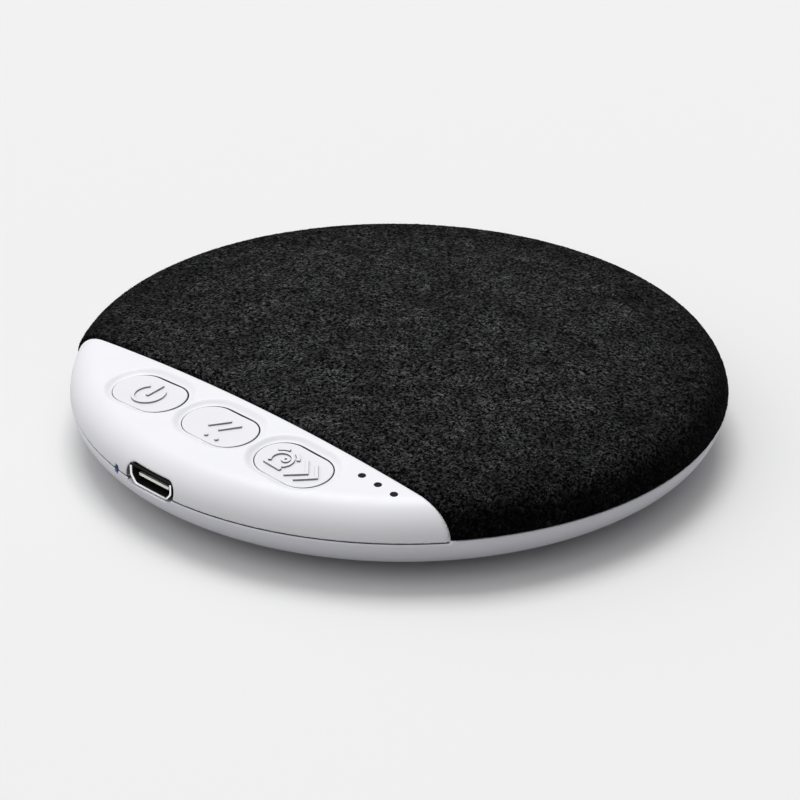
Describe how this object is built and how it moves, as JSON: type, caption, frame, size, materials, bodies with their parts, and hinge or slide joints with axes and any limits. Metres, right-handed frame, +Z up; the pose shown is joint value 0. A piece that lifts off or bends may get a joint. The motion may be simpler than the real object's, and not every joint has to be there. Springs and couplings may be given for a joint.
{
  "type": "pillow speaker",
  "caption": "Flat round pillow speaker: felt sound top over a slim driver, a white key panel with sprung press keys, indicator windows and a micro-USB charging socket at the rim",
  "frame": {"origin": "under the middle of the body, on the surface it stands on", "axes": "+Z up through the crown, -Y toward the key panel and the charging socket, +X to the right seen from the panel"},
  "size_m": [0.0886, 0.0882, 0.0143],
  "materials": {
    "white_plastic": "satin",
    "black_plastic": "matte",
    "felt": "short nap",
    "grey_rubber": "matte",
    "screw_steel": "plain",
    "magnet_plate": "nickel plated",
    "socket_steel": "bright",
    "board_laminate": "solder mask",
    "pale_plastic": "matte",
    "contact_gold": "plated",
    "smoked_plastic": "smoked",
    "blue_lens": "clear blue",
    "cell_foil": "foil",
    "foam_pad": "foam",
    "red_lead": "insulation",
    "black_lead": "insulation",
    "terminal_board": "paper laminate",
    "cone_film": "film",
    "coil_copper": "wound"
  },
  "bodies": {
    "housing": {"bottom_shell": "white_plastic", "control_panel": "white_plastic", "grille_plate": "black_plastic", "switch_bodies": "black_plastic", "sound_chip": "black_plastic", "amplifier_chip": "black_plastic", "inductor": "black_plastic", "fabric_cover": "felt", "rubber_feet": "grey_rubber", "driver_surround": "grey_rubber", "driver_gasket": "grey_rubber", "case_screws": "screw_steel", "board_screws": "screw_steel", "driver_screws": "screw_steel", "driver_frame": "screw_steel", "driver_yoke": "screw_steel", "driver_top_plate": "screw_steel", "driver_magnet": "magnet_plate", "usb_shell": "socket_steel", "main_board": "board_laminate", "usb_tongue": "pale_plastic", "battery_socket": "pale_plastic", "speaker_socket": "pale_plastic", "indicator_leds": "pale_plastic", "charge_led": "pale_plastic", "capacitors": "pale_plastic", "usb_contacts": "contact_gold", "indicator_pipes": "smoked_plastic", "charge_pipe": "blue_lens", "battery_cell": "cell_foil", "battery_pad": "foam_pad", "battery_lead_red": "red_lead", "speaker_lead_red": "red_lead", "battery_lead_black": "black_lead", "speaker_lead_black": "black_lead", "driver_terminals": "terminal_board"},
    "power_button": {"power_button": "white_plastic"},
    "noise_button": {"noise_button": "white_plastic"},
    "skip_button": {"skip_button": "white_plastic"},
    "power_plunger": {"power_plunger": "black_plastic"},
    "noise_plunger": {"noise_plunger": "black_plastic"},
    "skip_plunger": {"skip_plunger": "black_plastic"},
    "diaphragm": {"driver_cone": "cone_film", "dust_cap": "cone_film", "voice_coil": "coil_copper"}
  },
  "joints": [
    {"name": "power_press", "type": "slide", "parent": "housing", "child": "power_button", "axis": [0, 0, -1], "range_m": [0, 0.0003], "stiffness_N_per_m": 800, "springref_m": -0.001},
    {"name": "power_plunge", "type": "slide", "parent": "housing", "child": "power_plunger", "axis": [0, 0, -1], "range_m": [0, 0.0003]},
    {"name": "noise_press", "type": "slide", "parent": "housing", "child": "noise_button", "axis": [0, 0, -1], "range_m": [0, 0.0003], "stiffness_N_per_m": 800, "springref_m": -0.001},
    {"name": "noise_plunge", "type": "slide", "parent": "housing", "child": "noise_plunger", "axis": [0, 0, -1], "range_m": [0, 0.0003]},
    {"name": "skip_press", "type": "slide", "parent": "housing", "child": "skip_button", "axis": [0, 0, -1], "range_m": [0, 0.0003], "stiffness_N_per_m": 800, "springref_m": -0.001},
    {"name": "skip_plunge", "type": "slide", "parent": "housing", "child": "skip_plunger", "axis": [0, 0, -1], "range_m": [0, 0.0003]},
    {"name": "cone_travel", "type": "slide", "parent": "housing", "child": "diaphragm", "axis": [0, 0, 1], "range_m": [-0.0005, 0.0005], "stiffness_N_per_m": 900, "deforming": ["driver_surround"]}
  ],
  "couplings": [
    {"joint": "power_plunge", "follows": "power_press", "ratio": 1},
    {"joint": "noise_plunge", "follows": "noise_press", "ratio": 1},
    {"joint": "skip_plunge", "follows": "skip_press", "ratio": 1}
  ]
}
